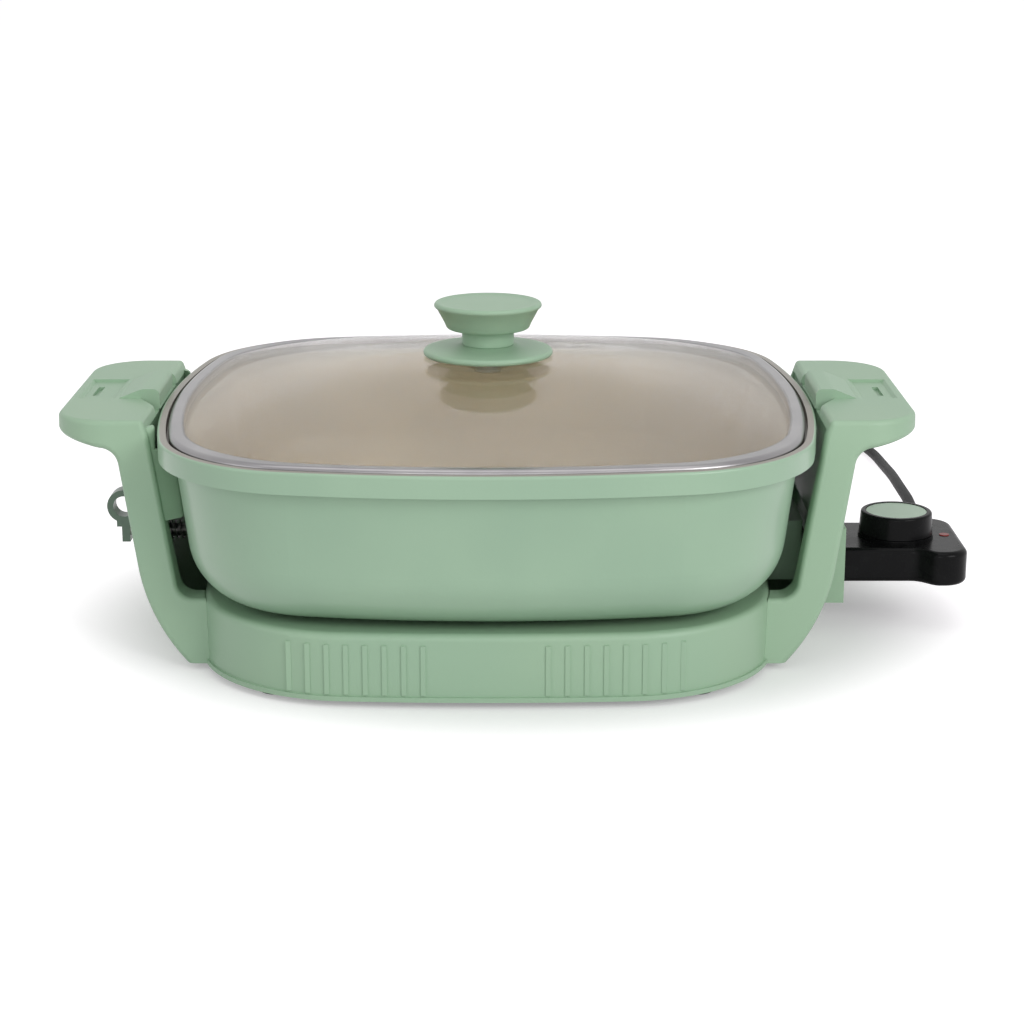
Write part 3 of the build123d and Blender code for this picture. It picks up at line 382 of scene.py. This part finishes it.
def plastic_sockets(shade):
    grain = shade.noise(3200, 2)
    cloud = shade.noise(11, 2).step(0.35, 0.65)
    return {
        "Base Color": cloud.blend(PLASTIC, PLASTIC_WARM),
        "Roughness": 0.40 + 0.10 * grain,
        "Normal": shade.bump(grain, 0.00006),
    }


# Painted shade: the tray's darker green stands for the stand's mint plastic in the shadow under
# the pan.
def tray_shade_sockets(shade):
    grain = shade.noise(1800, 3)
    return {
        "Base Color": grain.step(0.3, 0.7).blend(colour(78, 108, 81), colour(88, 118, 91)),
        "Roughness": 0.5 + 0.15 * grain,
        "Normal": shade.bump(grain, 0.00012),
    }


def foot_sockets(shade):
    grain = shade.noise(1500, 3)
    return {
        "Base Color": grain.step(0.3, 0.7).blend(colour(38, 40, 38), colour(50, 52, 50)),
        "Roughness": 0.72 + 0.1 * grain,
        "Normal": shade.bump(grain, 0.0002),
    }


mint_plastic = finish("mint_plastic", plastic_sockets)
tray_painted_shade = finish("tray_painted_shade", tray_shade_sockets)
foot_rubber = finish("foot_rubber", foot_sockets)
zinc = finish("zinc_plate", steel_sockets(188, 0.3, (1, 1, 1)))
shield_sheet = finish("shield_sheet", steel_sockets(196, 0.22, (1, 0.02, 1)))
wear(mint_plastic, "stand_band")
wear(tray_painted_shade, "base_tray")
wear(foot_rubber, "rubber_feet", "pan_rests")
wear(zinc, "tray_screws")
wear(shield_sheet, "heat_shield")

# Uprights: two one-piece mouldings in the stand's plastic, each a flanged channel under a
# flat grip with a thumb recess, screwed to the band from inside with two screws. On the
# bolt's side a thin lip behind each flange closes the upper part of the gap to the pan.
CREASE = 35
LIP_LOW, LIP_TOP = 69.0, 113.0
LIP_BACK, LIP_SLANT, LIP_THICK = 3.0, 0.9, 3.4
LIP_GAP, LIP_BITE = 0.8, 1.5
FACE_FOOT, FACE_LEAN, FACE_RISE = 84, 14, 117
EDGE_FOOT, EDGE_LOW, EDGE_LEAN, EDGE_RISE = 144.5, 33.5, 13, 75.5


def skin(name, rows, closed=False):
    """A piece from a grid of points in millimetres about the pan's centre line, one face to
    a cell. Columns join round; with closed, the last row joins the first. Rows that shrink
    to a point are welded into a pole, and edges that turn more than CREASE degrees stay
    crisp."""
    count, width = rows.shape[:2]
    index = np.arange(count * width).reshape(count, width)
    low, high = (index, np.roll(index, -1, axis=0)) if closed else (index[:-1], index[1:])
    cells = [low, np.roll(low, -1, axis=1), np.roll(high, -1, axis=1), high]
    mesh = bpy.data.meshes.new(name)
    points = rows.reshape(-1, 3) / 1000 + (PAN_X, 0, 0)
    mesh.from_pydata(points.tolist(), [], np.stack(cells, axis=-1).reshape(-1, 4).tolist())
    work = bmesh.new()
    work.from_mesh(mesh)
    bmesh.ops.remove_doubles(work, verts=work.verts, dist=1e-7)
    bmesh.ops.recalc_face_normals(work, faces=work.faces)
    for face in work.faces:
        face.smooth = True
    for edge in work.edges:
        joined = len(edge.link_faces) == 2
        edge.smooth = joined and bool(edge.calc_face_angle() < np.radians(CREASE))
    work.to_mesh(mesh)
    work.free()
    piece = bpy.data.objects.new(name, mesh)
    bpy.context.scene.collection.objects.link(piece)
    return piece


def lip(end):
    """Plan loops at rising heights. The loop's outer end lies LIP_BITE inside the flange,
    whose inner edge is 144.5 out at a height of 33.5 and 157.5 at 109, a little behind the
    flange's leaning face. Its rounded inner end keeps a gap to the pan: the centre of the
    side arc plus the root of its radius squared less depth squared. Both faces slant back
    towards the pan."""
    rises = (LIP_LOW + 0.3, LIP_LOW + 1, 80, 91, 101.6, 102.3, 107, LIP_TOP - 1)
    height = np.array([LIP_LOW, LIP_LOW, *rises, LIP_TOP, LIP_TOP])
    shrink = np.array([0.9, 0.9, 0.3, 0, 0, 0, 0, 0, 0, 0, 0.7, 0.7])
    face = FACE_FOOT - FACE_LEAN * height / FACE_RISE - LIP_BACK - shrink
    draft_in = BODY_STEP + np.tan(DRAFT) * (BAND_LOW - height / 1000)
    under_band = np.where(height < 102, draft_in, 0.0) * 1000
    bow = RIM_BOW * 1000 - under_band
    pan_side = (RIM_HALF - RIM_BOW) * 1000 + np.sqrt(bow**2 - (face - LIP_SLANT * 10) ** 2)
    flange = EDGE_FOOT + LIP_BITE + (height - EDGE_LOW) * EDGE_LEAN / EDGE_RISE
    inner = pan_side + LIP_GAP + shrink
    back = face - LIP_THICK
    to_pan = [flange, inner + 1, inner + 0.3, inner]
    x = np.stack([*to_pan, *reversed(to_pan)], axis=-1)
    y = np.stack([face, face, face - 0.3, face - 1, back + 1, back + 0.3, back, back], axis=-1)
    y -= LIP_SLANT * (flange[:, None] - x)
    for end_row in (0, -1):
        x[end_row], y[end_row] = x[end_row].mean(), y[end_row].mean()
    return skin("upright_lip", np.stack([-x, end * y, height[:, None] + 0 * x], axis=-1))


wear(mint_plastic, "right_upright", "left_upright")
wear(zinc, "upright_screws")
for end in (-1, 1):
    piece = lip(end)
    wear(mint_plastic, piece)
    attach(piece, "stand")

# Locking bolt: a turned steel pin with a collar, in a brass bush, pushed into the pan's lug
# by a compression spring and drawn back by the finger ring moulded round its end, whose
# darker grey-green is painted shade.
brass = finish(
    "turned_brass",
    lambda shade: {
        "Base Color": shade.mottle(60, (196, 164, 98), (214, 184, 120)),
        "Metallic": 1.0,
        "Roughness": 0.24 + 0.15 * shade.noise(1200, 2),
    },
)
# Painted shade: the finger ring is given the darker grey-green that it shows in shade.
ring_painted_shade = finish(
    "ring_painted_shade",
    lambda shade: {
        "Base Color": shade.mottle(40, (92, 114, 98), (100, 122, 106)),
        "Roughness": 0.26 + 0.08 * shade.noise(900, 2),
    },
)
wear(brass, "bolt_bush")
wear(drawn_steel, "locking_bolt", "bolt_spring")
wear(ring_painted_shade, "pull_ring")

# Lid: a domed pane of tempered glass in a rolled stainless rim, which drops into the pan's
# ledge, with a mint knob and flange clamped through the pane by one screw and a washer.
LID_OUT = 152.8
LID_SEAT = 108.5
GLASS_EDGE = 109.7
GLASS_THICK = 4.0
DOME = np.array(((3.5, 0.0), (14.0, 3.0), (40.0, 8.6), (75.0, 14.8), (118.0, 20.6)))
HOLE_INSET = 149.0
KNOB_LAND = 134.3
SIDE_STEPS, TURN_STEPS = 60, 144
# The steps along one side crowd at its corners, where the outline bends most.
QUARTER = np.interp(np.arange(SIDE_STEPS) / SIDE_STEPS, (0, 0.34, 0.66, 1), (-45, -10.5, 10.5, 45))
AROUND = np.radians(np.concatenate([QUARTER + 90 * q for q in range(4)]))


def bowed_square(turn, half, bow, corner):
    """Plan outline as a function of the way its edge faces. Within the side's lean the point
    is on the side arc, elsewhere on the corner arc: the arc's centre plus its radius times
    the facing direction, turned to its quarter. Arrays of sizes give one outline per row."""
    quarter = np.round(turn / (np.pi / 2)) * np.pi / 2
    facing = turn - quarter
    k = corner_centre(half, bow, corner)
    on_side = np.abs(facing) < np.arctan2(k, k - half + bow)
    out = np.where(on_side, half - bow + bow * np.cos(facing), k + corner * np.cos(facing))
    bend = np.sign(facing) * k + corner * np.sin(facing)
    across = np.where(on_side, bow * np.sin(facing), bend)
    return (
        out * np.cos(quarter) - across * np.sin(quarter),
        out * np.sin(quarter) + across * np.cos(quarter),
    )


def lid_ring(profile):
    """A profile of (inset, height) rows carried round the lid: the plan at each inset is a
    bowed square whose bow and corner near a circle's as it shrinks."""
    profile = np.asarray(profile, float)
    half = (LID_OUT - profile[:, :1]) + 0 * AROUND
    square = (half / LID_OUT) ** 2
    bow, corner = half * (1.03 + 2.2 * square), half * (0.98 - 0.515 * square)
    x, y = bowed_square(AROUND + 0 * half, half, bow, corner)
    return np.stack([x, y, profile[:, 1:] + 0 * AROUND], axis=-1)


def turned(profile):
    """A profile of (radius, height) rows turned about the knob's axis: x and y are the
    radius times the cosine and sine of the step's angle."""
    profile = np.asarray(profile, float)
    angle = np.arange(TURN_STEPS) * 2 * np.pi / TURN_STEPS
    radius, height = profile[:, :1], profile[:, 1:] + 0 * angle
    return np.stack([radius * np.cos(angle), radius * np.sin(angle), height], axis=-1)


def arc(centre, radius, start, end, count=7):
    """Rows of a round: the centre plus the radius times the direction from start to end."""
    angle = np.radians(np.linspace(start, end, count))
    across, up = centre[0] + radius * np.cos(angle), centre[1] + radius * np.sin(angle)
    return np.stack([across, up], axis=-1)


# The pane's rise is the smooth curve through five measured rings, level under the flange.
rise = np.polynomial.Polynomial.fit(DOME[:, 0], DOME[:, 1], 4)
near_rim, over_dome = np.linspace(DOME[0, 0], 30, 16), np.linspace(33, DOME[-1, 0], 18)
insets = np.concatenate([near_rim, over_dome, [125, HOLE_INSET]])
heights = GLASS_EDGE + GLASS_THICK + rise(np.minimum(insets, DOME[-1, 0]))
outer = np.stack([insets, heights], axis=-1)
inner = outer[::-1] + (0, -GLASS_THICK)
inner[:, 0] = np.minimum(inner[:, 0] + 1.2, HOLE_INSET)
pane = skin("glass_pane", lid_ring(np.concatenate([outer, inner])), closed=True)
glass = finish(
    "tempered_glass",
    lambda shade: {
        "Base Color": colour(250, 253, 251),
        "Roughness": 0.015,
        "Transmission Weight": 1.0,
        "IOR": 1.18,
        "Alpha": 0.55,
    },
)
shade = Shade(glass.node_tree)
lamp_ray = shade.node("ShaderNodeLightPath", out="Is Shadow Ray")
let_through = shade.node("ShaderNodeBsdfTransparent", {"Color": colour(246, 250, 247)})
shell = Shade(glass.node_tree, glass.node_tree.nodes["Principled BSDF"].outputs[0])
mixed = shade.node("ShaderNodeMixShader", {0: lamp_ray, 1: shell, 2: let_through})
glass.node_tree.links.new(mixed.out, glass.node_tree.nodes["Material Output"].inputs["Surface"])
wear(glass, pane)
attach(pane, "lid")
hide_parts("lid_glass")

bead = np.concatenate(
    [
        [(0.35, LID_SEAT), (0.0, LID_SEAT + 0.4), (0.0, 112.2)],
        arc((2.1, 112.5), 2.1, 180, 80, 9),
        [(3.6, 114.55)],
        arc((5.4, 112.9), 1.6, 88, 0, 8),
        [(7.0, 110.4), (6.9, LID_SEAT + 0.4), (6.5, LID_SEAT)],
    ]
)
rim = skin("steel_rim", lid_ring(bead), closed=True)
rim_steel = finish(
    "rolled_stainless",
    lambda shade: {
        "Base Color": shade.mottle(30, (138, 136, 138), (150, 148, 149)),
        "Metallic": 1.0,
        "Roughness": 0.26 + 0.08 * shade.noise(55, 2),
    },
)
wear(rim_steel, rim)
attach(rim, "lid")
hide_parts("lid_rim")

FLANGE_R, NECK_R = 31.7, 12.7
flange_profile = np.concatenate(
    [
        [(3.5, KNOB_LAND)],
        arc((FLANGE_R - 1.3, KNOB_LAND + 1.3), 1.3, -90, 0, 5),
        arc((FLANGE_R - 1.6, KNOB_LAND + 1.5), 1.6, 0, 80, 6),
        [(26, KNOB_LAND + 3.35), (20, KNOB_LAND + 3.75), (16.4, KNOB_LAND + 4.3)],
        [(14.4, KNOB_LAND + 5.0), (NECK_R + 0.2, KNOB_LAND + 5.2), (3.5, KNOB_LAND + 5.2)],
    ]
)
flange = skin("knob_collar", turned(flange_profile), closed=True)
knob_profile = np.concatenate(
    [
        [(3.0, KNOB_LAND + 5.2), (NECK_R - 0.3, KNOB_LAND + 5.2), (NECK_R, KNOB_LAND + 5.5)],
        [(NECK_R, 143.5), (NECK_R + 0.05, 145.2)],
        arc((NECK_R + 1.6, 145.4), 1.5, 180, 98, 5),
        [(18.6, 147.5)],
        arc((18.9, 149.3), 1.8, -82, -35, 5),
        [(21.6, 151.0), (24.9, 157.2)],
        arc((24.75, 158.9), 1.55, -25, 80, 9),
        [(23.6, 160.35), (22.4, 160.0), (20.5, 159.85), (12, 160.1), (6, 160.2), (0, 160.22)],
    ]
)
screw_well = [(0, 148.3), (3.0, 148.3)]
knob = skin("lid_grip", turned(np.concatenate([knob_profile, screw_well])), closed=True)
wear(mint_plastic, knob, flange)
for piece, name in ((knob, "lid_knob"), (flange, "knob_flange")):
    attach(piece, "lid")
    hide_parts(name)
wear(zinc, "knob_screw")
wear(black_rubber, "knob_washer")

# Thermostat: two glossy black mouldings held by four screws, with a moulded contact carrier,
# brass sleeves, a steel sensor rod, a switch blade and a neon lamp under a red lens.
def gloss_sockets(shade):
    orange_peel = shade.noise(260, 2)
    dust = shade.noise(70, 3).step(0.4, 0.75)
    return {
        "Base Color": dust.blend(colour(15, 15, 16), colour(21, 21, 22)),
        "Roughness": 0.24 + 0.08 * dust,
        "Specular IOR Level": 0.07,
        "Coat Weight": 0.03,
        "Coat Roughness": 0.06,
        "Normal": shade.bump(orange_peel, 0.00005),
    }


gloss_black = finish("gloss_black", gloss_sockets)
carrier_black = finish(
    "carrier_black",
    lambda shade: {
        "Base Color": shade.mottle(90, (26, 25, 24), (36, 34, 32)),
        "Roughness": 0.5 + 0.15 * shade.noise(1500, 2),
    },
)
red_lens = finish(
    "red_lens",
    lambda shade: {
        "Base Color": shade.mottle(700, (120, 20, 14), (138, 28, 18), detail=1.0),
        "Roughness": 0.25,
        "Specular IOR Level": 0.2,
    },
)
wear(gloss_black, "thermostat_top", "thermostat_base")
wear(carrier_black, "contact_carrier")
wear(brass, "contact_sleeves", "switch_blade", "plug_blades")
wear(drawn_steel, "case_screws", "sensor_rod")
wear(red_lens, "pilot_lamp", "lamp_lens")

# Dial: a black grip ring on a steel shaft, with a pale mint disc pressed into its top.
DIAL_X = PAN_X + 0.204
CAP_RIM_IN, CAP_RIM_OUT = 0.0142, 0.0148
CAP_MIDDLE = colour(176, 200, 178)
CAP_EDGE = colour(190, 210, 192)


def cap_sockets(shade):
    x, y = shade.along("X") - DIAL_X, shade.along("Y")
    rim = shade.math("SQRT", x * x + y * y).step(CAP_RIM_IN, CAP_RIM_OUT)
    grain = shade.noise(2400, 2)
    return {
        "Base Color": rim.blend(CAP_MIDDLE, CAP_EDGE),
        "Roughness": 0.3 + 0.1 * grain,
        "Normal": shade.bump(grain, 0.00004),
    }


cap_green = finish("cap_green", cap_sockets)
wear(gloss_black, "dial_ring")
wear(cap_green, "dial_cap")
wear(drawn_steel, "dial_shaft")
